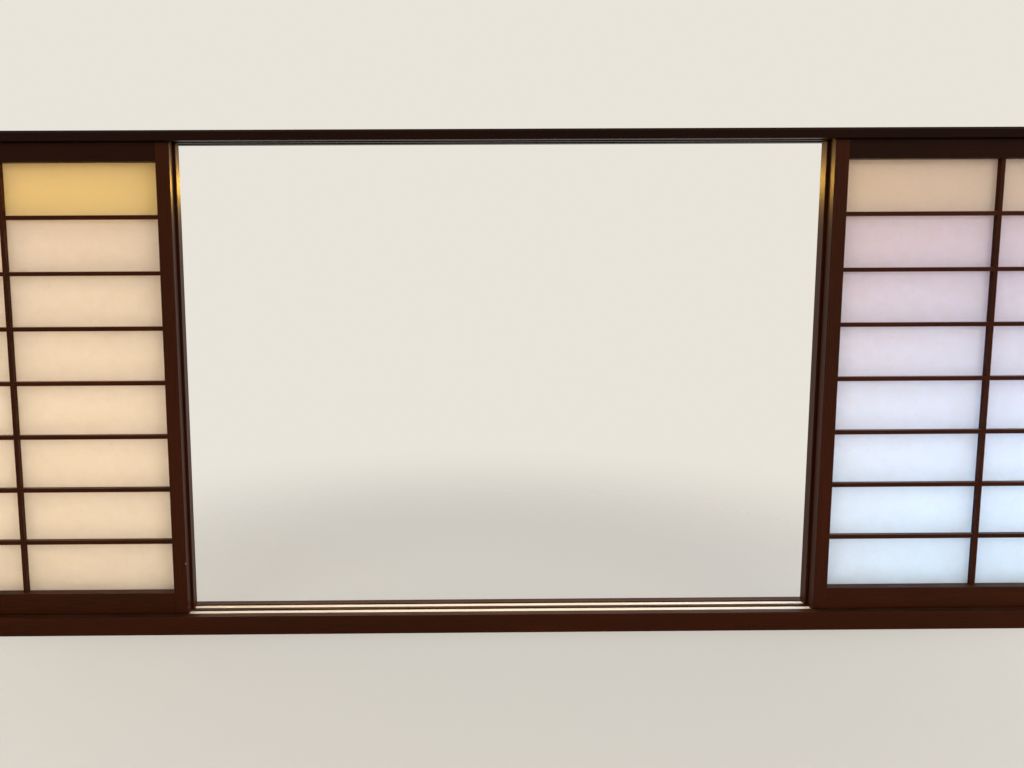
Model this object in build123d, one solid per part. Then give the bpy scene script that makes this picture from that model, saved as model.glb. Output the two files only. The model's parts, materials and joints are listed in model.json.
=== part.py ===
from build123d import *
import os

# A four-panel sliding screen window of the shoji kind, in its own wooden frame.
#
# Two panels run in the front track and two in the rear track, and every panel is two bays wide and
# eight bays high. Both front panels are drawn fully open, against the jambs, with the rear panels
# behind them. X runs along the window, -Y faces the room and +Z is up. The origin is the middle of
# the sill's underside. All sizes are in millimetres.

# Opening inside the frame
opening_height = 1041.0

# Frame timbers
sill_thickness = 42.0
head_cover = 10.0
head_top_chamfer = 5.0
jamb_thickness = 30.0
frame_arris = 1.5

# Tracks cut in the sill and the head
track_lip = 22.0
sill_groove_depth = 3.0
head_tongue_entry = 7.0
lift_room = 5.0

# Slip tape that lines the sill's grooves
tape_thickness = 0.5
tape_side_gap = 0.3
tape_end_gap = 1.0

# Panel timbers
panel_width = 738.0
panel_depth = 30.0
panel_gap = 3.0
stile_width = 30.0
bottom_rail_height = 47.0
top_rail_height = 39.0
rail_setback = 1.0
panel_arris = 1.0

# Tongues that run in the tracks
tongue_cheek = 5.5
tongue_side_gap = 1.0
shoulder_gap = 2.0
running_gap = 0.2

# Lattice bars and their bays
bay_rows = 8
bay_columns = 2
bar_width = 9.0
bar_depth = 14.5

# Paper and the rebate that it lies in, behind the lattice
paper_thickness = 0.3
paper_lap = 10.0
paper_rebate_depth = 1.5
paper_edge_gap = 0.5

# Mortise and tenon joints
mortise_cover = 9.0
rail_tenon_thickness = 10.0
rail_tenon_shoulder = 8.0
bar_tenon_length = 8.0
bar_tenon_shoulder = 2.0
bar_tenon_cheek = 3.0
jamb_tenon_length = 10.0
jamb_tenon_shoulder = 9.0
jamb_tenon_setback = 22.0
joint_gap = 0.1
glue_room = 1.0
lap_gap = 0.05

# Screws that hold the frame's corners
screw_length = 65.0
screw_shank_radius = 2.1
screw_head_radius = 4.0
screw_sink = 0.6
screw_edge_distance = 11.0
screw_hole_gap = 0.1

# Holes through the jambs for fixing the frame to the wall's studs
fixing_hole_radius = 2.5
fixing_sink_radius = 5.0
fixing_end_distance = 220.0

# Where the panels stand, measured from the jamb to the panel's outer edge
front_panel_standoff = 0.5
rear_left_standoff = 5.5
rear_right_standoff = 6.0

# Tracks and frame
groove_width = panel_depth - 2 * tongue_cheek + 2 * tongue_side_gap
track_spacing = panel_depth + panel_gap
frame_depth = 2 * track_lip + track_spacing + groove_width
head_groove_depth = head_tongue_entry + lift_room
head_thickness = head_groove_depth + head_cover
head_underside = sill_thickness + opening_height
frame_top = head_underside + head_thickness
groove_floor = sill_thickness - sill_groove_depth
opening_width = 4 * panel_width - 2 * stile_width
frame_width = opening_width + 2 * jamb_thickness
jamb_centre_x = (opening_width + jamb_thickness) / 2

# Panel heights and the field inside its stiles and rails
panel_foot = groove_floor + tape_thickness + running_gap
panel_crown = head_underside + head_tongue_entry
foot_shoulder = sill_thickness + shoulder_gap
crown_shoulder = head_underside - shoulder_gap
bay_bottom = foot_shoulder + bottom_rail_height
bay_top = crown_shoulder - top_rail_height
field_width = panel_width - 2 * stile_width
field_height = bay_top - bay_bottom
field_centre_z = (bay_bottom + bay_top) / 2
bay_width = (field_width - (bay_columns - 1) * bar_width) / bay_columns
bay_height = (field_height - (bay_rows - 1) * bar_width) / bay_rows

# Depths across a panel, from its middle plane
panel_back = panel_depth / 2
bar_back = panel_back - paper_rebate_depth
bar_centre_y = bar_back - bar_depth / 2
rail_depth = panel_depth - rail_setback
rail_centre_y = rail_setback / 2
rail_tenon_length = stile_width - mortise_cover - glue_room

upright_places = [
    (column + 1) * bay_width + (column + 0.5) * bar_width - field_width / 2
    for column in range(bay_columns - 1)
]
cross_places = [
    (row + 1) * bay_height + (row + 0.5) * bar_width + bay_bottom for row in range(bay_rows - 1)
]


def slab(width, depth, low_z, high_z):
    """A rectangle of width by depth, centred on X and Y, raised from low_z to high_z."""
    return extrude(Pos(0, 0, low_z) * Rectangle(width, depth), high_z - low_z)


def timber_along_x(length, depth, low_z, high_z):
    """A straight timber along X, drawn as its end section and extruded both ways."""
    middle = (low_z + high_z) / 2
    section = Plane.YZ * Pos(0, middle) * Rectangle(depth, high_z - low_z)
    return extrude(section, length / 2, both=True)


def front_edge(timber, level):
    """The edge along X at the front of a timber, at its lowest (0) or highest (-1) level."""
    return timber.edges().filter_by(Axis.X).group_by(Axis.Z)[level].sort_by(Axis.Y)[0]


def both_ends(shape):
    """A shape at the right-hand end, with its mirror image at the left-hand end."""
    return [shape, mirror(shape, Plane.YZ)]


def track_grooves(low_z, high_z):
    """The front and the rear groove, which stop at the jambs."""
    groove = slab(opening_width, groove_width, low_z, high_z)
    return [Pos(0, side * track_spacing / 2, 0) * groove for side in (-1, 1)]


def jamb_tenon(low_z, high_z, gap=0.0):
    """The right jamb's stub tenon, or with a gap the mortise that takes it."""
    thickness = jamb_thickness - 2 * jamb_tenon_shoulder
    width = frame_depth - 2 * jamb_tenon_setback
    return Pos(jamb_centre_x, 0, 0) * slab(thickness + 2 * gap, width + 2 * gap, low_z, high_z)


def corner_screw(gap=0.0):
    """A countersunk screw pointing down from the origin, or with a gap the hole that takes it."""
    shank = screw_shank_radius + gap
    rim = screw_head_radius + gap
    tip = screw_length + gap
    outline = Polyline((0, 0), (rim, 0), (shank, shank - rim), (shank, -tip), (0, -tip), close=True)
    return revolve(Plane.XZ * make_face(outline), Axis.Z)


def screw_hole():
    """A screw's hole, carried on above its head to the surface that the head is sunk in."""
    sink = extrude(Circle(screw_head_radius + screw_hole_gap), screw_sink)
    return corner_screw(screw_hole_gap) + sink


def at_screw_places(screw):
    """Copies of a screw or hole at four places in the head's top and four in the sill's underside."""
    in_head = Pos(0, 0, frame_top - screw_sink)
    in_sill = Pos(0, 0, screw_sink) * Rot(180, 0, 0)
    plan = GridLocations(2 * jamb_centre_x, frame_depth - 2 * screw_edge_distance, 2, 2)
    return [seat * place * screw for seat in (in_head, in_sill) for place in plan]


def sill_track():
    """The sill, with two shallow grooves and a mortise under each jamb."""
    sill = timber_along_x(frame_width, frame_depth, 0, sill_thickness)
    sill = chamfer(front_edge(sill, -1), frame_arris)
    sill -= track_grooves(groove_floor, sill_thickness)
    mortise_floor = sill_thickness - jamb_tenon_length - glue_room
    sill -= both_ends(jamb_tenon(mortise_floor, sill_thickness, joint_gap))
    return sill - at_screw_places(screw_hole())


def head_track():
    """The head, with two deep grooves, a mortise over each jamb and a broad chamfer on top."""
    head = timber_along_x(frame_width, frame_depth, head_underside, frame_top)
    head = chamfer(front_edge(head, -1), head_top_chamfer)
    head = chamfer(front_edge(head, 0), frame_arris)
    head -= track_grooves(head_underside, head_underside + head_groove_depth)
    mortise_top = head_underside + jamb_tenon_length + glue_room
    head -= both_ends(jamb_tenon(head_underside, mortise_top, joint_gap))
    return head - at_screw_places(screw_hole())


def fixing_hole():
    """A hole through the right jamb, countersunk on the jamb's inner face, at height 0."""
    cone = fixing_sink_radius - fixing_hole_radius
    outline = Polyline(
        (0, 0),
        (0, fixing_sink_radius),
        (cone, fixing_hole_radius),
        (jamb_thickness, fixing_hole_radius),
        (jamb_thickness, 0),
        close=True,
    )
    return Pos(opening_width / 2, 0, 0) * revolve(Plane.XZ * make_face(outline), Axis.X)


def right_jamb():
    """The right jamb, tenoned into sill and head, with a fixing hole near each end."""
    jamb = Pos(jamb_centre_x, 0, 0) * slab(jamb_thickness, frame_depth, sill_thickness, head_underside)
    jamb = chamfer(jamb.edges().filter_by(Axis.Z).group_by(Axis.X)[0], frame_arris)
    jamb += jamb_tenon(sill_thickness - jamb_tenon_length, head_underside + jamb_tenon_length)
    low_hole = sill_thickness + fixing_end_distance
    high_hole = head_underside - fixing_end_distance
    jamb -= [Pos(0, 0, height) * fixing_hole() for height in (low_hole, high_hole)]
    return jamb - at_screw_places(screw_hole())


def slip_tape(side):
    """The thin pale tape on a groove's floor, in the front (-1) or the rear (1) groove of the sill."""
    length = opening_width - 2 * tape_end_gap
    width = groove_width - 2 * tape_side_gap
    tape = slab(length, width, groove_floor, groove_floor + tape_thickness)
    return Pos(0, side * track_spacing / 2, 0) * tape


def cheek_cuts():
    """What is cut from the front and the back of a panel's foot and crown to leave its tongues."""
    cuts = []
    for low_z, high_z in ((panel_foot, foot_shoulder), (crown_shoulder, panel_crown)):
        cheek = slab(panel_width, tongue_cheek, low_z, high_z)
        for side in (-1, 1):
            cuts.append(Pos(0, side * (panel_depth - tongue_cheek) / 2, 0) * cheek)
    return cuts


def paper_rebate():
    """The shallow recess in the backs of the stiles and rails, a little larger than the paper."""
    margin = paper_lap + paper_edge_gap
    outline = Plane.XZ * Rectangle(field_width + 2 * margin, field_height + 2 * margin)
    return Pos(0, panel_back, field_centre_z) * extrude(outline, paper_rebate_depth)


def rail_tenon(low_z, high_z, length, gap=0.0):
    """A rail's tenon past the right end of the field, or with a gap the mortise that takes it."""
    low_z += rail_tenon_shoulder - gap
    high_z += gap - rail_tenon_shoulder
    tenon = slab(length, rail_tenon_thickness + 2 * gap, low_z, high_z)
    return Pos((field_width + length) / 2, rail_centre_y, 0) * tenon


def bar_tenon(length, gap=0.0):
    """A lattice bar's tenon, raised from height 0 on the bar's own axis, or its mortise."""
    width = bar_width - 2 * bar_tenon_shoulder + 2 * gap
    depth = bar_depth - 2 * bar_tenon_cheek + 2 * gap
    return Pos(0, bar_centre_y, 0) * extrude(Rectangle(width, depth), length)


def cross_bar_tenon(length, gap=0.0):
    """A lattice bar's tenon turned to lie along X, from the right end of the field."""
    return Pos(field_width / 2, 0, 0) * Rot(0, 90, 0) * bar_tenon(length, gap)


def right_stile():
    """The right stile of a panel, with its tongues, fine arrises, mortises and paper rebate."""
    stile = slab(stile_width, panel_depth, panel_foot, panel_crown)
    uprights = stile.edges().filter_by(Axis.Z)
    back_outer = uprights.group_by(Axis.Y)[-1].sort_by(Axis.X)[-1]
    stile = chamfer([*uprights.group_by(Axis.Y)[0], back_outer], panel_arris)
    stile = Pos((field_width + stile_width) / 2, 0, 0) * stile
    stile -= cheek_cuts()
    rail_mortise = rail_tenon_length + glue_room
    stile -= rail_tenon(foot_shoulder, bay_bottom, rail_mortise, joint_gap)
    stile -= rail_tenon(bay_top, crown_shoulder, rail_mortise, joint_gap)
    pocket = cross_bar_tenon(bar_tenon_length + glue_room, joint_gap)
    stile -= [Pos(0, 0, height) * pocket for height in cross_places]
    return stile - paper_rebate()


def rail_between_stiles(low_z, high_z, arris_level):
    """A rail's body, set back at the front so that the stiles' arrises run through beside it."""
    rail = Pos(0, rail_centre_y, 0) * slab(field_width, rail_depth, low_z, high_z)
    rail = chamfer(front_edge(rail, arris_level), panel_arris)
    return rail - cheek_cuts() - paper_rebate()


def bottom_rail():
    """The broad bottom rail, whose tongue runs on the sill's tape."""
    rail = rail_between_stiles(panel_foot, bay_bottom, -1)
    rail += both_ends(rail_tenon(foot_shoulder, bay_bottom, rail_tenon_length))
    pocket = Pos(0, 0, bay_bottom) * bar_tenon(-bar_tenon_length - glue_room, joint_gap)
    return rail - [Pos(across, 0, 0) * pocket for across in upright_places]


def top_rail():
    """The top rail, whose longer tongue stands in the head's groove."""
    rail = rail_between_stiles(bay_top, panel_crown, 0)
    rail += both_ends(rail_tenon(bay_top, crown_shoulder, rail_tenon_length))
    pocket = Pos(0, 0, bay_top) * bar_tenon(bar_tenon_length + glue_room, joint_gap)
    return rail - [Pos(across, 0, 0) * pocket for across in upright_places]


def cross_bar(height):
    """A horizontal lattice bar, halved from the front where the upright bars cross it."""
    bar = Pos(0, bar_centre_y, 0) * slab(field_width, bar_depth, -bar_width / 2, bar_width / 2)
    bar += both_ends(cross_bar_tenon(bar_tenon_length))
    notch = slab(bar_width + 2 * lap_gap, bar_depth / 2, -bar_width / 2, bar_width / 2)
    bar -= [Pos(across, bar_centre_y - bar_depth / 4, 0) * notch for across in upright_places]
    return Pos(0, 0, height) * bar


def upright_bar(across):
    """A vertical lattice bar, halved from the back where the cross bars pass behind it."""
    bar = Pos(0, bar_centre_y, 0) * slab(bar_width, bar_depth, bay_bottom, bay_top)
    bar += Pos(0, 0, bay_bottom) * bar_tenon(-bar_tenon_length)
    bar += Pos(0, 0, bay_top) * bar_tenon(bar_tenon_length)
    half_notch = bar_width / 2 + lap_gap
    notch = slab(bar_width, bar_depth / 2, -half_notch, half_notch)
    bar -= [Pos(0, bar_centre_y + bar_depth / 4, height) * notch for height in cross_places]
    return Pos(across, 0, 0) * bar


def paper():
    """One taut sheet of paper on the backs of the lattice bars, lapped onto stiles and rails."""
    sheet = Plane.XZ * Rectangle(field_width + 2 * paper_lap, field_height + 2 * paper_lap)
    return Pos(0, bar_back + paper_thickness, field_centre_z) * extrude(sheet, paper_thickness)


def panel_pieces():
    """Every piece of one panel by name, with the panel's middle at X 0 and Y 0."""
    right, left = both_ends(right_stile())
    pieces = {
        "right_stile": right,
        "left_stile": left,
        "top_rail": top_rail(),
        "bottom_rail": bottom_rail(),
        "paper": paper(),
    }
    for number, across in enumerate(upright_places, start=1):
        pieces[f"upright_bar_{number}"] = upright_bar(across)
    for number, height in enumerate(cross_places, start=1):
        pieces[f"cross_bar_{number}"] = cross_bar(height)
    return pieces


def frame_pieces():
    """Every piece of the fixed frame by name."""
    right, left = both_ends(right_jamb())
    return {
        "sill_track": sill_track(),
        "head_track": head_track(),
        "right_jamb": right,
        "left_jamb": left,
        "front_slip_tape": slip_tape(-1),
        "rear_slip_tape": slip_tape(1),
        "corner_screws": Compound(children=at_screw_places(corner_screw())),
    }


def panel_places():
    """Where each of the four panels stands, as the place of its middle."""
    against_jamb = (opening_width - panel_width) / 2
    track = track_spacing / 2
    return {
        "front_left_panel": Pos(front_panel_standoff - against_jamb, -track, 0),
        "front_right_panel": Pos(against_jamb - front_panel_standoff, -track, 0),
        "rear_left_panel": Pos(rear_left_standoff - against_jamb, track, 0),
        "rear_right_panel": Pos(against_jamb - rear_right_standoff, track, 0),
    }


def main():
    """Build every piece and write each to a file of its own."""
    os.makedirs("parts", exist_ok=True)
    pieces = frame_pieces()
    template = panel_pieces()
    for panel, place in panel_places().items():
        for piece, shape in template.items():
            pieces[f"{panel}_{piece}"] = place * shape
    for name, shape in pieces.items():
        export_step(shape, f"parts/{name}.step")
    print(f"{len(pieces)} pieces, frame {frame_width} by {frame_depth} by {frame_top}")
    print(f"bays {bay_width} by {bay_height}, grooves {groove_width} wide")


main()
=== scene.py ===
"""Dresses a four-panel sliding paper-screen window: its timber, paper, slip tape, screws and studio."""

import json
import logging
import math
from dataclasses import dataclass, field
from enum import Enum

import bpy
import numpy as np
from mathutils import Matrix, Vector

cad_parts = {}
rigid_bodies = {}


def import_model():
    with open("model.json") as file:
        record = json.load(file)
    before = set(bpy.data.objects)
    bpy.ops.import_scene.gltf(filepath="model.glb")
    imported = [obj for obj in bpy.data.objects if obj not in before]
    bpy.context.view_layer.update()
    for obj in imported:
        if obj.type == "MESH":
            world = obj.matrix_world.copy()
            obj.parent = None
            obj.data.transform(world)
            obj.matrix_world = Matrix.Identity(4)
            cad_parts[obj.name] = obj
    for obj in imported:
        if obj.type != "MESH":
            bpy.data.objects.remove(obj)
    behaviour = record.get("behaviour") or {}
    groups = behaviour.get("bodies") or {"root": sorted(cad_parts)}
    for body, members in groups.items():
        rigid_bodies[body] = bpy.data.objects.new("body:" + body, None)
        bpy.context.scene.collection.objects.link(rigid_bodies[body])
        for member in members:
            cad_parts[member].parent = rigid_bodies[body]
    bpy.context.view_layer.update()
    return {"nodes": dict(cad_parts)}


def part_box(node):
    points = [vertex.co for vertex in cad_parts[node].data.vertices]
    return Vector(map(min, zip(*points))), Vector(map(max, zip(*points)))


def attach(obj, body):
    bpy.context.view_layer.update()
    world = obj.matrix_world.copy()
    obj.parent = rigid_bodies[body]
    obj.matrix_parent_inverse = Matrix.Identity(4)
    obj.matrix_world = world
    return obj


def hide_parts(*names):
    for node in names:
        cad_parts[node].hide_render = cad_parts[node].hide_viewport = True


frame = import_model()

MM = 0.001
CROSS_BARS = 7
WAVE_TURN = math.pi / 10  # the Wave texture's own period, in units of one over its scale
FLAT_ANGLE = math.radians(35)

Tree = bpy.types.NodeTree
Socket = bpy.types.NodeSocket

log = logging.getLogger("window")


class Grain(Enum):
    """The way that a timber's grain runs, as the number of that axis."""

    ALONG_X = 0
    ALONG_Z = 2


class Member(Enum):
    """The timbers of one sliding panel: the last part of the name, the grain and the painted shade scale."""

    LEFT_STILE = ("left_stile", Grain.ALONG_Z, 1.0)
    RIGHT_STILE = ("right_stile", Grain.ALONG_Z, 1.0)
    # painted shade: the top rail is darkened as if in shade from above
    TOP_RAIL = ("top_rail", Grain.ALONG_X, 0.42)
    BOTTOM_RAIL = ("bottom_rail", Grain.ALONG_X, 1.0)
    UPRIGHT_BAR = ("upright_bar_1", Grain.ALONG_Z, 1.0)


def linear(hex_colour: str) -> tuple[float, float, float, float]:
    """Turns an sRGB hex colour into a linear one.

    Args:
        hex_colour: the colour as "#RRGGBB".

    Returns:
        Linear red, green, blue and an alpha of one.
    """
    shares = np.array([int(hex_colour[at:at + 2], 16) for at in (1, 3, 5)]) / 255
    curved = np.where(shares <= 0.04045, shares / 12.92, ((shares + 0.055) / 1.055) ** 2.4)
    return (*curved.tolist(), 1.0)


def add_node(tree: Tree, kind: str, inputs: dict | None = None, **settings) -> bpy.types.Node:
    """Adds one shader node, with its settings and what feeds it.

    Args:
        tree: the node tree that takes the node.
        kind: the node's type, without its ShaderNode prefix.
        inputs: by input name or number, a plain value or the output that feeds it.
        settings: the node's own properties, such as operation.

    Returns:
        The new node.
    """
    node = tree.nodes.new("ShaderNode" + kind)
    for name, value in settings.items():
        setattr(node, name, value)
    for key, value in (inputs or {}).items():
        if isinstance(value, Socket):
            tree.links.new(value, node.inputs[key])
        else:
            node.inputs[key].default_value = value
    return node


def new_tree(name: str) -> tuple[bpy.types.Material, Tree]:
    """Makes an empty node material.

    Args:
        name: the material's name.

    Returns:
        The material and its cleared node tree.
    """
    material = bpy.data.materials.new(name)
    material.use_nodes = True
    material.node_tree.nodes.clear()
    return material, material.node_tree


def mesh_piece(name: str, points: np.ndarray, faces: list, finish: bpy.types.Material) -> bpy.types.Object:
    """Makes a mesh object at the origin from worked-out points.

    Args:
        name: the piece's name.
        points: one row of x, y and z for each vertex, in metres.
        faces: vertex numbers of each face, anticlockwise seen from outside.
        finish: its material.

    Returns:
        The linked object, smooth except at its sharp edges.
    """
    mesh = bpy.data.meshes.new(name)
    mesh.from_pydata(points.tolist(), [], faces)
    mesh.polygons.foreach_set("use_smooth", np.ones(len(faces), bool))
    mesh.set_sharp_from_angle(angle=FLAT_ANGLE)
    mesh.materials.append(finish)
    mesh.update()
    piece = bpy.data.objects.new(name, mesh)
    bpy.context.scene.collection.objects.link(piece)
    return piece


def dress_node(node: str, finish: bpy.types.Material) -> bpy.types.Object:
    """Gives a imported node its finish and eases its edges, with its mesh left as it is.

    Args:
        node: the node's name.
        finish: its material.

    Returns:
        The node's object.
    """
    piece = frame["nodes"][node]
    piece.data.materials.clear()
    piece.data.materials.append(finish)
    weld = piece.modifiers.new("joined_corners", "WELD")
    weld.merge_threshold = 0.001 * MM
    ease = piece.modifiers.new("eased_edges", "BEVEL")
    ease.width = 0.4 * MM
    ease.segments = 2
    ease.limit_method = "ANGLE"
    ease.angle_limit = FLAT_ANGLE
    return piece


@dataclass(frozen=True)
class Timber:
    """One timber as its finish needs it: its name, grain and box, in metres.

    The number sets the timber's own figure. The shade scale is the share of the stain's brightness
    that is left: one for most timbers, and less for the head and top rails, whose darker colour is
    painted shade from above. That the timbers there have a heavier coat, and are not only in shade,
    is a guess.
    """

    node: str
    grain: Grain
    number: int
    shade_scale: float = 1.0

    @property
    def centre(self) -> Vector:
        """The middle of the timber's box."""
        low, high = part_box(self.node)
        return (low + high) / 2

    @property
    def half_size(self) -> Vector:
        """Half of the timber's box along each axis."""
        low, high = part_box(self.node)
        return (high - low) / 2


@dataclass(frozen=True)
class Chip:
    """A small bare spot on an arris: its middle and radius, in metres."""

    place: tuple[float, float, float]
    radius: float


@dataclass(frozen=True)
class StainedCypress:
    """Straight-grained cypress, planed, stained dark red-brown and finished with satin lacquer.

    To the eye it is nearly black-brown, with darker latewood lines along each member, redder wood
    where the stain took thinly, and paler arrises where hands have rubbed it.
    """

    earlywood: str = "#371605"
    latewood: str = "#210C03"
    thin_stain: str = "#471C08"
    worn_arris: str = "#5A2D14"
    bare_wood: str = "#B0917A"
    dust: str = "#8A7868"
    ring_spacing: float = 2.6 * MM
    ring_waver: float = 12 * MM
    # a real fibre is 0.04 mm wide, too fine to show, so it is drawn as a streak of about a millimetre
    streak_width: float = 1.2 * MM
    board_patch: float = 75 * MM
    draw_out: float = 45.0
    pith_distance: float = 95 * MM
    figure_step: tuple[float, float, float] = (3.1, 5.3, 7.9)
    wear_width: float = 0.9 * MM
    wear_share: float = 0.45
    dust_patch: float = 14 * MM
    dust_share: float = 0.1
    relief: float = 0.03 * MM
    roughness: float = 0.38
    specular: float = 0.07

    def drawn_out(self, timber: Timber, share: float) -> tuple[float, float, float]:
        """The scale that draws a pattern out along the grain, by draw_out to the power of share."""
        scale = [1.0, 1.0, 1.0]
        scale[timber.grain.value] = self.draw_out ** -share
        return tuple(scale)

    def build(self, timber: Timber, chips: tuple[Chip, ...] = ()) -> bpy.types.Material:
        """Makes the finish of one timber.

        Args:
            timber: the timber that it is for.
            chips: bare spots on it.

        Returns:
            The material.
        """
        material, tree = new_tree(f"stained_cypress_{timber.node}")
        place = add_node(tree, "TexCoord").outputs["Object"]
        centred = add_node(tree, "Mapping", {"Vector": place, "Location": -timber.centre}).outputs[0]
        seed = Vector(self.figure_step) * (0.13 * timber.number)
        fine, broad = (
            add_node(
                tree, "Mapping",
                {"Vector": centred, "Location": seed, "Scale": self.drawn_out(timber, share)},
            ).outputs[0]
            for share in (1.0, 0.5)
        )
        streak = add_node(
            tree, "TexNoise",
            {"Vector": fine, "Scale": 1 / self.streak_width, "Detail": 3.0, "Roughness": 0.6},
        ).outputs["Fac"]
        patch = add_node(
            tree, "TexNoise",
            {"Vector": broad, "Scale": 1 / self.board_patch, "Detail": 2.0, "Roughness": 0.5},
        )
        rings = self.growth_rings(tree, timber, centred, patch.outputs["Color"])
        colour = self.stained_colour(tree, rings, streak, patch.outputs["Fac"])
        wear = self.worn_edges(tree, timber, centred, streak)
        colour = add_node(
            tree, "Mix", {0: wear, 6: colour, 7: linear(self.worn_arris)}, data_type="RGBA"
        ).outputs[2]
        colour = self.settled_dust(tree, colour, broad)
        # painted shade: the head and top rails are darkened as if in shade from above
        colour = add_node(
            tree, "VectorMath", {0: colour, "Scale": timber.shade_scale}, operation="SCALE"
        ).outputs[0]
        for chip in chips:
            colour = self.chipped(tree, colour, place, chip)
        rough = add_node(
            tree, "MapRange",
            {0: streak, 1: 0.3, 2: 0.7, 3: self.roughness - 0.05, 4: self.roughness + 0.08},
        ).outputs[0]
        height = add_node(tree, "Math", {0: rings, 1: streak}, operation="ADD").outputs[0]
        relief = add_node(tree, "Bump", {"Height": height, "Distance": self.relief, "Strength": 0.6})
        shader = add_node(
            tree, "BsdfPrincipled",
            {
                "Base Color": colour,
                "Roughness": rough,
                "Specular IOR Level": self.specular,
                "Normal": relief.outputs[0],
            },
        )
        add_node(tree, "OutputMaterial", {"Surface": shader.outputs[0]})
        return material

    def growth_rings(self, tree: Tree, timber: Timber, centred: Socket, waver: Socket) -> Socket:
        """Latewood lines: a saw wave of the distance from the pith, wavering slowly along the grain.

        The rings are circles about a pith that lies beside the timber, nearer or further off from
        one timber to the next, so long faces get lines and the ends get arcs.

        Args:
            tree: the material's nodes.
            timber: the timber, for its grain and its number.
            centred: places from the timber's middle.
            waver: slow noise as a colour.

        Returns:
            Zero at the start of a ring's growth and one at its dark end.
        """
        pith = Vector((0.8, 0.8, 0.8)) * self.pith_distance
        pith.y *= 0.5 + 0.17 * (timber.number % 5)
        sway = (self.ring_waver,) * 3
        moved = add_node(
            tree, "VectorMath", {0: waver, 1: sway, 2: pith}, operation="MULTIPLY_ADD"
        ).outputs[0]
        bent = add_node(tree, "VectorMath", {0: centred, 1: moved}, operation="ADD").outputs[0]
        wave = add_node(
            tree, "TexWave", {"Vector": bent, "Scale": WAVE_TURN / self.ring_spacing},
            wave_type="RINGS", rings_direction="XYZ"[timber.grain.value], wave_profile="SAW",
        )
        return wave.outputs["Fac"]

    def stained_colour(self, tree: Tree, rings: Socket, streak: Socket, patch: Socket) -> Socket:
        """The stained wood's colour: thin stain in patches, dark latewood, and dark and pale streaks.

        Args:
            tree: the material's nodes.
            rings: the growth rings.
            streak: fibre noise.
            patch: slow noise over the board.

        Returns:
            The colour.
        """
        thin = add_node(tree, "MapRange", {0: patch, 1: 0.42, 2: 0.68, 3: 0.0, 4: 0.6}).outputs[0]
        ground = add_node(
            tree, "Mix", {0: thin, 6: linear(self.earlywood), 7: linear(self.thin_stain)},
            data_type="RGBA",
        ).outputs[2]
        late = add_node(tree, "MapRange", {0: rings, 1: 0.45, 2: 1.0, 3: 0.0, 4: 0.75}).outputs[0]
        ringed = add_node(
            tree, "Mix", {0: late, 6: ground, 7: linear(self.latewood)}, data_type="RGBA"
        ).outputs[2]
        depth = add_node(tree, "MapRange", {0: streak, 1: 0.3, 2: 0.7, 3: 0.72, 4: 1.25}).outputs[0]
        return add_node(tree, "VectorMath", {0: ringed, "Scale": depth}, operation="SCALE").outputs[0]

    def worn_edges(self, tree: Tree, timber: Timber, centred: Socket, streak: Socket) -> Socket:
        """How worn a place is: more where it is near an edge of the timber's box.

        Near an edge, two of the distances to the box's faces are small, so wear follows the median
        of the three.

        Args:
            tree: the material's nodes.
            timber: the timber, for its box.
            centred: places from the timber's middle.
            streak: fibre noise, which breaks the wear up.

        Returns:
            A share from none to wear_share.
        """
        away = add_node(tree, "VectorMath", {0: centred}, operation="ABSOLUTE").outputs[0]
        inward = add_node(
            tree, "VectorMath", {0: timber.half_size, 1: away}, operation="SUBTRACT"
        ).outputs[0]
        parts = add_node(tree, "SeparateXYZ", {0: inward}).outputs
        less = add_node(tree, "Math", {0: parts[0], 1: parts[1]}, operation="MINIMUM").outputs[0]
        more = add_node(tree, "Math", {0: parts[0], 1: parts[1]}, operation="MAXIMUM").outputs[0]
        least = add_node(tree, "Math", {0: more, 1: parts[2]}, operation="MINIMUM").outputs[0]
        median = add_node(tree, "Math", {0: less, 1: least}, operation="MAXIMUM").outputs[0]
        reach = add_node(
            tree, "MapRange", {0: streak, 1: 0.35, 2: 0.7, 3: 0.0, 4: 2 * self.wear_width}
        ).outputs[0]
        short = add_node(tree, "Math", {0: reach, 1: median}, operation="SUBTRACT").outputs[0]
        return add_node(
            tree, "MapRange", {0: short, 1: 0.0, 2: self.wear_width, 3: 0.0, 4: self.wear_share}
        ).outputs[0]

    def settled_dust(self, tree: Tree, colour: Socket, broad: Socket) -> Socket:
        """Greys the faces that look up, in cloudy patches, as dust does.

        Args:
            tree: the material's nodes.
            colour: the wood's colour.
            broad: places drawn out along the grain.

        Returns:
            The colour with dust on it.
        """
        normal = add_node(tree, "NewGeometry").outputs["Normal"]
        up = add_node(tree, "SeparateXYZ", {0: normal}).outputs[2]
        cloud = add_node(tree, "TexNoise", {"Vector": broad, "Scale": 1 / self.dust_patch, "Detail": 3.0})
        flat = add_node(tree, "MapRange", {0: up, 1: 0.7, 2: 1.0, 3: 0.0, 4: self.dust_share}).outputs[0]
        thick = add_node(
            tree, "MapRange", {0: cloud.outputs["Fac"], 1: 0.35, 2: 0.7, 3: 0.25, 4: 1.0}
        ).outputs[0]
        film = add_node(tree, "Math", {0: flat, 1: thick}, operation="MULTIPLY").outputs[0]
        return add_node(
            tree, "Mix", {0: film, 6: colour, 7: linear(self.dust)}, data_type="RGBA"
        ).outputs[2]

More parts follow.
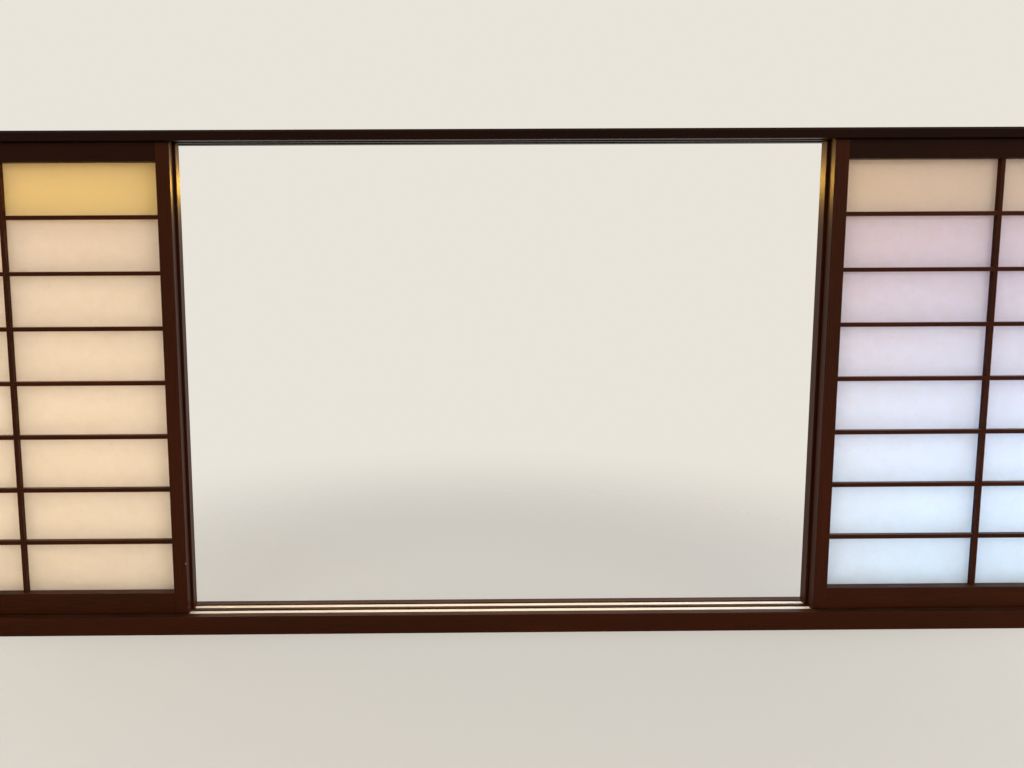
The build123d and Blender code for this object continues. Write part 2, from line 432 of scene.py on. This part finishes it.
    def chipped(self, tree: Tree, colour: Socket, place: Socket, chip: Chip) -> Socket:
        """Bares the wood within a chip's radius, with a ragged rim.

        Args:
            tree: the material's nodes.
            colour: the wood's colour.
            place: places in the window's own frame.
            chip: the bare spot.

        Returns:
            The colour with the chip in it.
        """
        away = add_node(tree, "VectorMath", {0: place, 1: chip.place}, operation="DISTANCE").outputs["Value"]
        ragged = add_node(tree, "TexNoise", {"Vector": place, "Scale": 1 / chip.radius}).outputs["Fac"]
        rim = add_node(
            tree, "Math", {0: ragged, 1: chip.radius, 2: away}, operation="MULTIPLY_ADD"
        ).outputs[0]
        bare = add_node(
            tree, "MapRange", {0: rim, 1: 1.1 * chip.radius, 2: 1.5 * chip.radius, 3: 1.0, 4: 0.0}
        ).outputs[0]
        return add_node(
            tree, "Mix", {0: bare, 6: colour, 7: linear(self.bare_wood)}, data_type="RGBA"
        ).outputs[2]


@dataclass(frozen=True)
class Washi:
    """Handmade mulberry paper, brushed out on a screen, put on with paste: matt, fibrous and translucent.

    To the eye it glows where light stands behind it, a little cloudy where the pulp lay thicker,
    with long pale fibres. Near the timber it is browner: painted shade, with some paste stain in it.
    Its yellow tint in the top row of bays is painted warm light, and a real sheet is more likely
    one colour.
    """

    pulp: str = "#F7F4EF"
    thick_pulp: str = "#EFE9DE"
    fibre: str = "#FFFDF8"
    # brown near the timbers: painted shade, with some paste stain in it
    paste_and_shade_tan: str = "#EBD9BC"
    # painted warm light in the top row of bays
    warm_light_tint: str = "#F7F0D1"
    warm_light_edge: float = 12 * MM
    cloud_width: float = 28 * MM
    cloud_share: float = 0.3
    # a real fibre is 0.02 mm wide, too fine to show, so it is drawn as a line of about 0.4 mm
    fibre_line: float = 0.4 * MM
    fibre_spread: float = 16 * MM
    fibre_share: float = 0.4
    fibre_dimming: float = 0.96
    paste_and_shade_width: float = 12 * MM
    paste_and_shade_share: float = 0.12
    sheet_step: tuple[float, float, float] = (0.7, 0.9, 0.4)
    relief: float = 0.15 * MM
    translucence: float = 0.80
    roughness: float = 0.85
    specular: float = 0.15

    def build(self, name: str, number: int, sheet: "PaperSheet") -> bpy.types.Material:
        """Makes the paper of one panel.

        Args:
            name: the material's name.
            number: which sheet it is, so that no two have the same clouds.
            sheet: the sheet, for the timbers that it is pasted to.

        Returns:
            The material.
        """
        material, tree = new_tree(name)
        place = add_node(tree, "TexCoord").outputs["Object"]
        own = add_node(
            tree, "Mapping", {"Vector": place, "Location": Vector(self.sheet_step) * number}
        ).outputs[0]
        cloud = add_node(
            tree, "TexNoise", {"Vector": own, "Scale": 1 / self.cloud_width, "Detail": 4.0}
        ).outputs["Fac"]
        thick = add_node(
            tree, "MapRange", {0: cloud, 1: 0.35, 2: 0.7, 3: 0.0, 4: self.cloud_share}
        ).outputs[0]
        pulp = add_node(
            tree, "Mix", {0: thick, 6: linear(self.pulp), 7: linear(self.thick_pulp)}, data_type="RGBA"
        ).outputs[2]
        # painted warm light: the top row of bays is tinted yellow
        tinted = add_node(
            tree, "Mix", {0: self.painted_warm_light(tree, place, sheet), 6: pulp, 7: linear(self.warm_light_tint)},
            data_type="RGBA",
        ).outputs[2]
        # painted shade near the timbers, with some paste stain in it
        paste_and_shade_tinted = add_node(
            tree, "Mix", {0: self.paste_and_shade(tree, place, sheet), 6: tinted, 7: linear(self.paste_and_shade_tan)},
            data_type="RGBA",
        ).outputs[2]
        line = self.fibres(tree, own)
        seen = add_node(
            tree, "Mix", {0: line, 6: paste_and_shade_tinted, 7: linear(self.fibre)}, data_type="RGBA"
        ).outputs[2]
        dim = add_node(
            tree, "MapRange", {0: line, 1: 0.0, 2: self.fibre_share, 3: 1.0, 4: self.fibre_dimming}
        ).outputs[0]
        passed = add_node(tree, "VectorMath", {0: paste_and_shade_tinted, "Scale": dim}, operation="SCALE").outputs[0]
        relief = add_node(tree, "Bump", {"Height": cloud, "Distance": self.relief, "Strength": 0.5})
        matt = add_node(
            tree, "BsdfPrincipled",
            {
                "Base Color": seen,
                "Roughness": self.roughness,
                "Specular IOR Level": self.specular,
                "Normal": relief.outputs[0],
            },
        )
        glow = add_node(tree, "BsdfTranslucent", {"Color": passed})
        both = add_node(
            tree, "MixShader", {0: self.translucence, 1: matt.outputs[0], 2: glow.outputs[0]}
        )
        add_node(tree, "OutputMaterial", {"Surface": both.outputs[0]})
        return material

    def painted_warm_light(self, tree: Tree, place: Socket, sheet: "PaperSheet") -> Socket:
        """How much painted warm light a place has, by its height over the top cross bar.

        Args:
            tree: the material's nodes.
            place: places in the window's own frame.
            sheet: the sheet, for its bars.

        Returns:
            None below the bar and the sheet's own share above it, with a soft edge behind the bar.
        """
        height = add_node(tree, "SeparateXYZ", {0: place}).outputs[2]
        bar = float(sheet.z_lines[-2])
        clean, yellow = bar - self.warm_light_edge, bar + self.warm_light_edge
        return add_node(
            tree, "MapRange", {0: height, 1: clean, 2: yellow, 3: 0.0, 4: sheet.warm_light_share},
            interpolation_type="SMOOTHSTEP",
        ).outputs[0]

    def paste_and_shade(self, tree: Tree, place: Socket, sheet: "PaperSheet") -> Socket:
        """How brown a place is, as painted shade with some paste stain in it: most at a bar, stile or rail.

        The bays are equal, so the distance to the nearest bar is a triangle wave of the height,
        and the same across the width. The two are rounded off where they meet in a bay's corner.

        Args:
            tree: the material's nodes.
            place: places in the window's own frame.
            sheet: the sheet, for its bays.

        Returns:
            A share from none to paste_and_shade_share.
        """
        x, _, z = add_node(tree, "SeparateXYZ", {0: place}).outputs
        across = add_node(tree, "Math", {0: x, 1: -sheet.x_lines[0]}, operation="ADD").outputs[0]
        upward = add_node(tree, "Math", {0: z, 1: -sheet.z_lines[0]}, operation="ADD").outputs[0]
        side = add_node(
            tree, "Math", {0: across, 1: sheet.bay_width / 2}, operation="PINGPONG"
        ).outputs[0]
        rise = add_node(
            tree, "Math", {0: upward, 1: sheet.bay_height / 2}, operation="PINGPONG"
        ).outputs[0]
        nearest = add_node(
            tree, "Math", {0: side, 1: rise, 2: self.paste_and_shade_width}, operation="SMOOTH_MIN"
        ).outputs[0]
        return add_node(
            tree, "MapRange", {0: nearest, 1: 0.0, 2: self.paste_and_shade_width, 3: self.paste_and_shade_share, 4: 0.0},
            interpolation_type="SMOOTHSTEP",
        ).outputs[0]

    def fibres(self, tree: Tree, own: Socket) -> Socket:
        """Long wandering fibres: the edges of warped cells, broken up by noise.

        Args:
            tree: the material's nodes.
            own: places on this sheet.

        Returns:
            A share from none to fibre_share, on the fibres.
        """
        drift = add_node(tree, "TexNoise", {"Vector": own, "Scale": 1 / (2 * self.fibre_spread)})
        reach = (1.6 * self.fibre_spread,) * 3
        warped = add_node(
            tree, "VectorMath", {0: drift.outputs["Color"], 1: reach, 2: own}, operation="MULTIPLY_ADD"
        ).outputs[0]
        cells = add_node(
            tree, "TexVoronoi", {"Vector": warped, "Scale": 1 / self.fibre_spread},
            feature="DISTANCE_TO_EDGE",
        ).outputs["Distance"]
        width = self.fibre_line / self.fibre_spread
        line = add_node(
            tree, "MapRange", {0: cells, 1: width, 2: 2 * width, 3: self.fibre_share, 4: 0.0}
        ).outputs[0]
        breaks = add_node(tree, "TexNoise", {"Vector": own, "Scale": 2 / self.fibre_spread}).outputs["Fac"]
        kept = add_node(tree, "MapRange", {0: breaks, 1: 0.48, 2: 0.58, 3: 0.0, 4: 1.0}).outputs[0]
        return add_node(tree, "Math", {0: line, 1: kept}, operation="MULTIPLY").outputs[0]


@dataclass(frozen=True)
class GlideTape:
    """Polyethylene glide tape, calendered: cream, waxy and satin, with dull rub lines along it."""

    wax: str = "#F3E9D2"
    rubbed: str = "#D4C6A8"
    rub_width: float = 2.2 * MM
    rub_length: float = 160 * MM
    rub_share: float = 0.7
    ior: float = 1.51
    roughness: float = 0.34

    def build(self) -> bpy.types.Material:
        """Makes the tape's material, with rub lines that run along X."""
        material, tree = new_tree("cream_glide_tape")
        place = add_node(tree, "TexCoord").outputs["Object"]
        drawn = add_node(
            tree, "Mapping", {"Vector": place, "Scale": (self.rub_width / self.rub_length, 1.0, 1.0)}
        ).outputs[0]
        rubs = add_node(
            tree, "TexNoise", {"Vector": drawn, "Scale": 1 / self.rub_width, "Detail": 4.0}
        ).outputs["Fac"]
        dull = add_node(
            tree, "MapRange", {0: rubs, 1: 0.45, 2: 0.75, 3: 0.0, 4: self.rub_share}
        ).outputs[0]
        colour = add_node(
            tree, "Mix", {0: dull, 6: linear(self.wax), 7: linear(self.rubbed)}, data_type="RGBA"
        ).outputs[2]
        rough = add_node(
            tree, "MapRange", {0: dull, 3: self.roughness, 4: self.roughness + 0.2}
        ).outputs[0]
        shader = add_node(
            tree, "BsdfPrincipled", {"Base Color": colour, "Roughness": rough, "IOR": self.ior}
        )
        add_node(tree, "OutputMaterial", {"Surface": shader.outputs[0]})
        return material


@dataclass(frozen=True)
class ZincPlatedSteel:
    """Cold-headed steel, zinc plated and passivated: a soft grey shine with a faint warm stain."""

    zinc: str = "#B9BBBC"
    stain: str = "#9C9382"
    stain_width: float = 3 * MM
    roughness: float = 0.34

    def build(self) -> bpy.types.Material:
        """Makes the screws' material, stained in small clouds."""
        material, tree = new_tree("zinc_plated_steel")
        place = add_node(tree, "TexCoord").outputs["Object"]
        cloud = add_node(
            tree, "TexNoise", {"Vector": place, "Scale": 1 / self.stain_width, "Detail": 4.0}
        ).outputs["Fac"]
        share = add_node(tree, "MapRange", {0: cloud, 1: 0.4, 2: 0.7}).outputs[0]
        colour = add_node(
            tree, "Mix", {0: share, 6: linear(self.zinc), 7: linear(self.stain)}, data_type="RGBA"
        ).outputs[2]
        rough = add_node(
            tree, "MapRange", {0: share, 3: self.roughness, 4: self.roughness + 0.15}
        ).outputs[0]
        shader = add_node(
            tree, "BsdfPrincipled", {"Base Color": colour, "Roughness": rough, "Metallic": 1.0}
        )
        add_node(tree, "OutputMaterial", {"Surface": shader.outputs[0]})
        return material


@dataclass
class PaperSheet:
    """One panel's sheet of paper, stuck with paste behind the lattice, a little cockled in each bay.

    Lengths are in metres. x_lines and z_lines are the middles of the timbers at the bays' edges,
    which are equally spaced, and bar_width is the paper's strip of paste at each. The warm light
    share is how much of the painted warm light the top row of bays has, from none to one.
    """

    panel: str
    number: int
    warm_light_share: float
    bar_width: float = 9 * MM
    cockle: float = 0.3 * MM
    ripple: float = 0.12 * MM
    ripple_length: float = 46 * MM
    ripple_slope: float = 0.8
    first_seed: int = 40
    steps_in_bay: tuple[int, int] = (26, 12)
    x_lines: np.ndarray = field(init=False)
    z_lines: np.ndarray = field(init=False)

    def __post_init__(self) -> None:
        """Reads the bays' edges from the panel's stiles, rails and bars."""
        self.node = f"{self.panel}_paper"
        rows = [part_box(f"{self.panel}_cross_bar_{bar}") for bar in range(1, CROSS_BARS + 1)]
        heights = [(low.z + high.z) / 2 for low, high in rows]
        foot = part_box(f"{self.panel}_bottom_rail")[1].z - self.bar_width / 2
        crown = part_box(f"{self.panel}_top_rail")[0].z + self.bar_width / 2
        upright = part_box(f"{self.panel}_upright_bar_1")
        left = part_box(f"{self.panel}_left_stile")[1].x - self.bar_width / 2
        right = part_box(f"{self.panel}_right_stile")[0].x + self.bar_width / 2
        self.x_lines = np.array([left, (upright[0].x + upright[1].x) / 2, right])
        self.z_lines = np.array([foot, *heights, crown])

    @property
    def bay_width(self) -> float:
        """From one upright timber's pasted strip to the next, middle to middle."""
        return float(self.x_lines[1] - self.x_lines[0])

    @property
    def bay_height(self) -> float:
        """From one cross bar to the next, middle to middle."""
        return float(self.z_lines[1] - self.z_lines[0])

    def stations(
        self, lines: np.ndarray, low: float, high: float, steps: int
    ) -> tuple[np.ndarray, np.ndarray]:
        """Grid lines across the sheet, with how far each lies through its bay.

        Args:
            lines: middles of the timbers at the bays' edges.
            low: the sheet's own lower edge.
            high: the sheet's own upper edge.
            steps: grid steps in each bay.

        Returns:
            The places, and a phase that is a whole number on every timber and rises by one
            through each bay.
        """
        half = self.bar_width / 2
        starts, ends = lines[:-1] + half, lines[1:] - half
        inside = np.linspace(starts, ends, steps + 1, axis=1)
        phases = np.arange(len(starts))[:, None] + np.linspace(0, 1, steps + 1)
        places = np.concatenate([[low], inside.ravel(), [high]])
        return places, np.concatenate([[0], phases.ravel(), [len(starts)]])

    def points(self) -> np.ndarray:
        """Front and back points of the sheet, as two grids of rows by columns by three.

        In each bay the paper stands off its plane by cockle times the bay's own share times the
        sine of the phase across times the sine of the phase up, plus slanting ripples that fade
        out the same way. On the timbers it lies flat.
        """
        low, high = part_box(self.node)
        x, across = self.stations(self.x_lines, low.x, high.x, self.steps_in_bay[0])
        z, upward = self.stations(self.z_lines, low.z, high.z, self.steps_in_bay[1])
        grid_x, grid_z = np.meshgrid(x, z)
        phase_x, phase_z = np.meshgrid(across, upward)
        rng = np.random.default_rng(self.first_seed + self.number)
        shares = rng.uniform(-1, 1, (len(self.z_lines), len(self.x_lines)))
        own = shares[np.floor(phase_z).astype(int), np.floor(phase_x).astype(int)]
        fade = np.abs(np.sin(np.pi * phase_x) * np.sin(np.pi * phase_z))
        slant = grid_x * (1 + 0.3 * own) + self.ripple_slope * grid_z
        waves = np.sin(2 * np.pi * slant / self.ripple_length + 6 * own)
        stand = fade * (self.cockle * own + self.ripple * waves)
        front = np.stack([grid_x, low.y + stand, grid_z], axis=-1)
        back = np.stack([grid_x, high.y + stand, grid_z], axis=-1)
        return np.stack([front, back])

    def build(self, finish: Washi) -> bpy.types.Object:
        """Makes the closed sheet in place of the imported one.

        Args:
            finish: the paper.

        Returns:
            The sheet, riding on its panel.
        """
        points = self.points()
        rows, columns = points.shape[1:3]
        layer = rows * columns
        front = np.arange(layer).reshape(rows, columns)
        quads = np.stack([front[:-1, :-1], front[:-1, 1:], front[1:, 1:], front[1:, :-1]], axis=-1)
        facing = quads.reshape(-1, 4)
        away = facing[:, ::-1] + layer
        rim = np.concatenate([front[0, :-1], front[:-1, -1], front[-1, :0:-1], front[:0:-1, 0]])
        after = np.roll(rim, -1)
        edge = np.stack([rim, rim + layer, after + layer, after], axis=-1)
        faces = np.concatenate([facing, away, edge]).tolist()
        paper = finish.build(f"mulberry_paper_{self.panel}", self.number, self)
        sheet = mesh_piece(f"{self.panel}_sheet", points.reshape(-1, 3), faces, paper)
        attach(sheet, self.panel)
        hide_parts(self.node)
        return sheet


@dataclass
class CountersunkScrew:
    """A countersunk wood screw that points down from the origin, with its lengths in metres."""

    head_radius: float = 4.0 * MM
    shank_radius: float = 2.1 * MM
    core_radius: float = 1.45 * MM
    tip_radius: float = 0.05 * MM
    length: float = 65 * MM
    plain_length: float = 24 * MM
    run_out: float = 0.4 * MM
    tip_length: float = 5 * MM
    pitch: float = 2.6 * MM
    head_rings: int = 14
    tip_rings: int = 5
    steps_in_turn: int = 6
    columns: int = 32
    recess_span: float = 2.3 * MM
    recess_width: float = 0.62 * MM
    recess_depth: float = 1.7 * MM

    def profile(self) -> tuple[np.ndarray, np.ndarray]:
        """Radius and height down the screw: flat head, cone, plain shank, thread and point."""
        neck = self.head_radius - self.shank_radius
        thread_end = self.length - self.tip_length
        turns = (thread_end - self.plain_length) / self.pitch
        drops = np.linspace(self.plain_length, thread_end, int(turns * self.steps_in_turn))
        head = np.linspace(0.04, 1, self.head_rings) * self.head_radius
        radii = np.concatenate([
            head, [self.shank_radius, self.shank_radius], np.full(len(drops), self.core_radius),
            np.linspace(self.core_radius, self.tip_radius, self.tip_rings)[1:],
        ])
        heights = np.concatenate([
            np.zeros(len(head)), [-neck, -self.plain_length + self.run_out], -drops,
            -np.linspace(thread_end, self.length, self.tip_rings)[1:],
        ])
        return radii, heights

    def points(self) -> np.ndarray:
        """Points of the screw, as rows by columns by three.

        The thread stands off the core by a sharp crest of the phase, which is the height over the
        pitch less the share of a turn. The recess is a cross with sloping walls: the smaller of a
        point's two distances tells how near it is to the middle of an arm, and the larger how far
        out along it.
        """
        radii, heights = self.profile()
        turn = np.linspace(0, 1, self.columns, endpoint=False)
        radius, share = np.meshgrid(radii, turn, indexing="ij")
        height = np.repeat(heights[:, None], self.columns, axis=1)
        phase = np.mod(height / self.pitch - share, 1)
        crest = np.clip(1 - 3.2 * np.abs(phase - 0.5), 0, 1)
        threaded = (height <= -self.plain_length) & (height >= self.tip_length - self.length)
        radius = radius + threaded * crest * (self.shank_radius - self.core_radius)
        x = radius * np.cos(2 * np.pi * share)
        y = radius * np.sin(2 * np.pi * share)
        narrow = np.minimum(np.abs(x), np.abs(y)) / self.recess_width
        along = np.maximum(np.abs(x), np.abs(y)) / self.recess_span
        hollow = np.clip(1.6 - narrow, 0, 1) * np.clip(4 * (1 - along), 0, 1)
        sunk = np.where(height == 0, hollow * self.recess_depth, 0)
        return np.stack([x, y, height - sunk], axis=-1)

    def faces(self, rows: int, screws: int) -> list[list[int]]:
        """Quads between the rings of every screw, with a face that closes each end.

        Args:
            rows: how many rings a screw has.
            screws: how many screws the mesh holds, one after another.

        Returns:
            Vertex numbers of each face.
        """
        index = np.arange(screws * rows * self.columns).reshape(screws, rows, self.columns)
        beside = np.roll(index, -1, axis=2)
        quads = np.stack([index[:, :-1], index[:, 1:], beside[:, 1:], beside[:, :-1]], axis=-1)
        return [*quads.reshape(-1, 4).tolist(), *index[:, 0].tolist(), *index[:, -1, ::-1].tolist()]


@dataclass
class SlidingPanel:
    """One sliding panel: stiles, rails, a lattice of bars and a sheet of paper."""

    name: str
    number: int
    warm_light_share: float
    chips: dict[str, tuple[Chip, ...]] = field(default_factory=dict)

    def timbers(self) -> list[Timber]:
        """Every timber of the panel, numbered so that no two have the same figure."""
        kinds = [member.value for member in Member]
        kinds += [(f"cross_bar_{bar}", Grain.ALONG_X, 1.0) for bar in range(1, CROSS_BARS + 1)]
        first = self.number * (len(kinds) + 1)
        return [
            Timber(f"{self.name}_{kind}", grain, first + at, shade_scale)
            for at, (kind, grain, shade_scale) in enumerate(kinds)
        ]

    def build(self, wood: StainedCypress, paper: Washi) -> None:
        """Dresses the timbers and hangs the paper.

        Args:
            wood: the timbers' finish.
            paper: the paper's finish.
        """
        timbers = self.timbers()
        for timber in timbers:
            dress_node(timber.node, wood.build(timber, self.chips.get(timber.node, ())))
        sheet = PaperSheet(self.name, self.number, self.warm_light_share).build(paper)
        log.info("%s: %d timbers, %d paper faces", self.name, len(timbers), len(sheet.data.polygons))


@dataclass
class TrackFrame:
    """The fixed frame: sill, head, jambs, the glide tapes in the sill's grooves and the screws."""

    body: str = "frame"
    screws_node: str = "corner_screws"
    tapes: tuple[str, str] = ("front_slip_tape", "rear_slip_tape")
    # painted shade on the head, darkened as if in shade from above
    head_shade_scale: float = 0.3

    def timbers(self) -> list[Timber]:
        """The four frame timbers, numbered past those of the panels."""
        return [
            Timber("sill_track", Grain.ALONG_X, 71),
            Timber("head_track", Grain.ALONG_X, 73, self.head_shade_scale),
            Timber("left_jamb", Grain.ALONG_Z, 79),
            Timber("right_jamb", Grain.ALONG_Z, 83),
        ]

    def drive_screws(self, finish: bpy.types.Material) -> bpy.types.Object:
        """Makes the eight corner screws as one piece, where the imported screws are.

        Args:
            finish: their material.

        Returns:
            The screws, riding on the frame.
        """
        screw = CountersunkScrew()
        one = screw.points()
        flat = one.reshape(-1, 3)
        low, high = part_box(self.screws_node)
        x = np.array([low.x, high.x]) + np.array([1, -1]) * screw.head_radius
        y = np.array([low.y, high.y]) + np.array([1, -1]) * screw.head_radius
        plan = np.stack(np.meshgrid(x, y, [0.0]), axis=-1).reshape(-1, 1, 3)
        down = flat[None] + plan + np.array([0, 0, high.z])
        up = flat[None] * np.array([1, -1, -1]) + plan + np.array([0, 0, low.z])
        points = np.concatenate([down, up])
        faces = screw.faces(one.shape[0], len(points))
        piece = mesh_piece("corner_wood_screws", points.reshape(-1, 3), faces, finish)
        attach(piece, self.body)
        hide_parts(self.screws_node)
        return piece

    def build(self, wood: StainedCypress, tape: GlideTape, steel: ZincPlatedSteel) -> None:
        """Dresses the frame's timbers and tapes and drives its screws.

        Args:
            wood: the timbers' finish.
            tape: the glide tapes' finish.
            steel: the screws' finish.
        """
        timbers = self.timbers()
        for timber in timbers:
            dress_node(timber.node, wood.build(timber))
        glide = tape.build()
        for node in self.tapes:
            dress_node(node, glide)
        screws = self.drive_screws(steel.build())
        log.info("frame: %d timbers, %d screw faces", len(timbers), len(screws.data.polygons))


@dataclass(frozen=True)
class SoftLamp:
    """A soft box: where it stands, what it faces and its width and height in metres, and its light.

    Power is in watts and spread is the angle that the light fans out to, in degrees. A lamp behind
    the window lights the window's pieces only, and a mirrored one shows in glossy surfaces.
    """

    name: str
    place: tuple[float, float, float]
    target: tuple[float, float, float]
    size: tuple[float, float]
    power: float
    tint: str = "#FFFFFF"
    spread: float = 180.0
    behind: bool = False
    mirrored: bool = False

    def build(self, window: bpy.types.Collection) -> None:
        """Puts the lamp in the scene, unseen by the camera itself.

        Args:
            window: the pieces that a lamp behind the window lights, without the floor and the head,
                which stay in the shade.
        """
        light = bpy.data.lights.new(self.name, "AREA")
        light.shape = "RECTANGLE"
        light.size, light.size_y = self.size
        light.energy = self.power
        light.spread = math.radians(self.spread)
        light.color = linear(self.tint)[:3]
        lamp = bpy.data.objects.new(self.name, light)
        lamp.location = self.place
        lamp.rotation_euler = (Vector(self.target) - Vector(self.place)).to_track_quat("-Z", "Y").to_euler()
        lamp.visible_camera = False
        lamp.visible_glossy = self.mirrored
        if self.behind:
            lamp.light_linking.receiver_collection = window
        bpy.context.scene.collection.objects.link(lamp)


@dataclass
class Studio:
    """A pale floor that fades into a pale surround, soft lamps on both sides, and the camera.

    Lengths are in metres, the lens in millimetres and angles in radians. The floor fades between
    fade_start and fade_end from the middle, and haze is how much of it is lost under the window.
    """

    floor_colour: str = "#F1EDE5"
    surround_colour: str = "#E9E4DA"
    skylight: float = 0.38
    floor_radius: float = 12.0
    floor_sides: int = 96
    floor_drop: float = 0.05 * MM
    fade_start: float = 0.5
    fade_end: float = 2.2
    haze: float = 0.5
    camera_place: tuple[float, float, float] = (-0.15705, -2.05561, 0.83423)
    turn_right: float = math.radians(0.441)
    tilt_down: float = math.radians(7.627)
    roll: float = math.radians(-0.292)
    lens: float = 32.80
    shift_right: float = 0.0725
    shaded: str = "head_track"

    def lamps(self) -> list[SoftLamp]:
        """Key and fill from the room's side, and soft boxes and two small bright ones behind."""
        low_left, high_left = (-1.15, 1.5, 0.43), (-1.1, 0.3, 1.2)
        low_right, high_right = (1.15, 0.8, 0.3), (1.15, 1.5, 0.7)
        low_middle = (0.05, 0.7, 0.95)
        wide, small, behind = (1.2, 0.9), (0.08, 0.04), True
        bright = {"power": 1.2, "tint": "#FFC24A", "behind": True, "mirrored": True}
        return [
            SoftLamp("key", (-2.4, -3.0, 1.9), (-0.2, 0, 0.5), (2.0, 2.0), 43, "#FFF6E9"),
            SoftLamp("fill", (2.8, -2.8, 1.6), (0.2, 0, 0.5), (2.0, 2.0), 37, "#FFF9F5"),
            SoftLamp("left_glow", low_left, (-1.15, 0, 0.43), wide, 8.5, "#FFE3BF", 70, behind),
            SoftLamp("left_gold", high_left, (-1.1, 0, 1.05), (0.7, 0.1), 0.5, "#FF7A20", 140, behind),
            SoftLamp("right_glow", high_right, (1.15, 0, 0.7), wide, 4.2, "#CE82FF", 70, behind),
            SoftLamp("right_daylight", low_right, (1.15, 0, 0.25), (1.2, 0.3), 10.2, "#7EC8FF", 100, behind),
            SoftLamp("sill_light", low_middle, (0.05, 0, 0.04), (1.2, 0.1), 3.8, "#FFEEDD", 90, behind),
            SoftLamp("left_glint", (-0.53, 0.68, 1.05), (-0.53, 0, 1.0), small, **bright),
            SoftLamp("right_glint", (0.51, 0.5, 1.04), (0.51, 0, 1.0), small, **bright),
        ]

    def lay_floor(self) -> None:
        """A disc of floor under the window, half lost in the surround, and wholly so further out."""
        turn = np.linspace(0, 2 * np.pi, self.floor_sides, endpoint=False)
        ring = self.floor_radius * np.stack([np.cos(turn), np.sin(turn)], axis=-1)
        points = np.column_stack([ring, np.full(len(ring), -self.floor_drop)])
        material, tree = new_tree("pale_studio_floor")
        place = add_node(tree, "TexCoord").outputs["Object"]
        away = add_node(tree, "VectorMath", {0: place}, operation="LENGTH").outputs["Value"]
        fade = add_node(
            tree, "MapRange", {0: away, 1: self.fade_start, 2: self.fade_end, 3: self.haze, 4: 1.0},
            interpolation_type="SMOOTHERSTEP",
        ).outputs[0]
        seen = self.seen_directly(tree)
        gone = add_node(tree, "Math", {0: fade, 1: seen}, operation="MULTIPLY").outputs[0]
        matt = add_node(
            tree, "BsdfPrincipled",
            {"Base Color": linear(self.floor_colour), "Roughness": 0.9, "Specular IOR Level": 0.1},
        )
        clear = add_node(tree, "BsdfTransparent")
        both = add_node(tree, "MixShader", {0: gone, 1: matt.outputs[0], 2: clear.outputs[0]})
        add_node(tree, "OutputMaterial", {"Surface": both.outputs[0]})
        floor = mesh_piece("studio_floor", points, [list(range(len(ring)))], material)

    def seen_directly(self, tree: Tree) -> Socket:
        """One for rays that show the surround itself, from the camera or by gloss or through glass.

        Light that paper scatters through itself is a transmission ray too, but a diffuse one, and
        it takes the sky's own strength.

        Args:
            tree: the nodes that need it.

        Returns:
            One or zero.
        """
        path = add_node(tree, "LightPath").outputs
        gloss = add_node(
            tree, "Math", {0: path["Is Camera Ray"], 1: path["Is Glossy Ray"]}, operation="MAXIMUM"
        ).outputs[0]
        clear = add_node(
            tree, "Math", {0: path["Is Transmission Ray"], 1: path["Is Diffuse Ray"]},
            operation="SUBTRACT", use_clamp=True,
        ).outputs[0]
        return add_node(tree, "Math", {0: gloss, 1: clear}, operation="MAXIMUM").outputs[0]

    def light_surround(self) -> None:
        """An even sky: soft white light on the object, and the pale surround where it is seen."""
        world = bpy.data.worlds.new("studio_surround")
        world.use_nodes = True
        tree = world.node_tree
        tree.nodes.clear()
        light = add_node(tree, "Background", {"Color": (1, 1, 1, 1), "Strength": self.skylight})
        shown = add_node(tree, "Background", {"Color": linear(self.surround_colour), "Strength": 1.0})
        both = add_node(
            tree, "MixShader", {0: self.seen_directly(tree), 1: light.outputs[0], 2: shown.outputs[0]}
        )
        add_node(tree, "OutputWorld", {"Surface": both.outputs[0]})
        bpy.context.scene.world = world

    def stand_camera(self) -> None:
        """Stands the camera where the photograph was taken from, with its sideways shift."""
        data = bpy.data.cameras.new("room_view")
        data.lens = self.lens
        data.shift_x = self.shift_right
        data.clip_start = 0.05
        camera = bpy.data.objects.new("room_view", data)
        turned = Matrix.Rotation(-self.turn_right, 4, "Z")
        tilted = Matrix.Rotation(math.pi / 2 - self.tilt_down, 4, "X")
        rolled = Matrix.Rotation(self.roll, 4, "Z")
        camera.matrix_world = Matrix.Translation(self.camera_place) @ turned @ tilted @ rolled
        bpy.context.scene.collection.objects.link(camera)
        bpy.context.scene.camera = camera

    def build(self) -> None:
        """Lays the floor, lights the scene and stands the camera."""
        window = bpy.data.collections.new("lit_from_behind")
        for piece in bpy.context.scene.objects:
            if piece is not frame["nodes"][self.shaded]:
                window.objects.link(piece)
        self.lay_floor()
        self.light_surround()
        lamps = self.lamps()
        for lamp in lamps:
            lamp.build(window)
        self.stand_camera()
        bpy.context.scene.view_settings.view_transform = "Standard"
        log.info("studio: %d lamps", len(lamps))


def main() -> None:
    """Builds the frame, the four panels and the studio, in that order."""
    logging.basicConfig(level=logging.INFO, format="%(message)s")
    wood = StainedCypress()
    paper = Washi()
    TrackFrame().build(wood, GlideTape(), ZincPlatedSteel())
    rubbed = Chip((-707.5 * MM, -31.5 * MM, 160 * MM), 2.4 * MM)
    # how much painted warm light each panel's top row of bays has
    full_warm_light, half_warm_light = 1.0, 0.5
    panels = [
        SlidingPanel("front_left_panel", 0, full_warm_light, {"front_left_panel_right_stile": (rubbed,)}),
        SlidingPanel("front_right_panel", 1, half_warm_light),
        SlidingPanel("rear_left_panel", 2, full_warm_light),
        SlidingPanel("rear_right_panel", 3, half_warm_light),
    ]
    for panel in panels:
        panel.build(wood, paper)
    Studio().build()


if __name__ == "__main__":
    main()
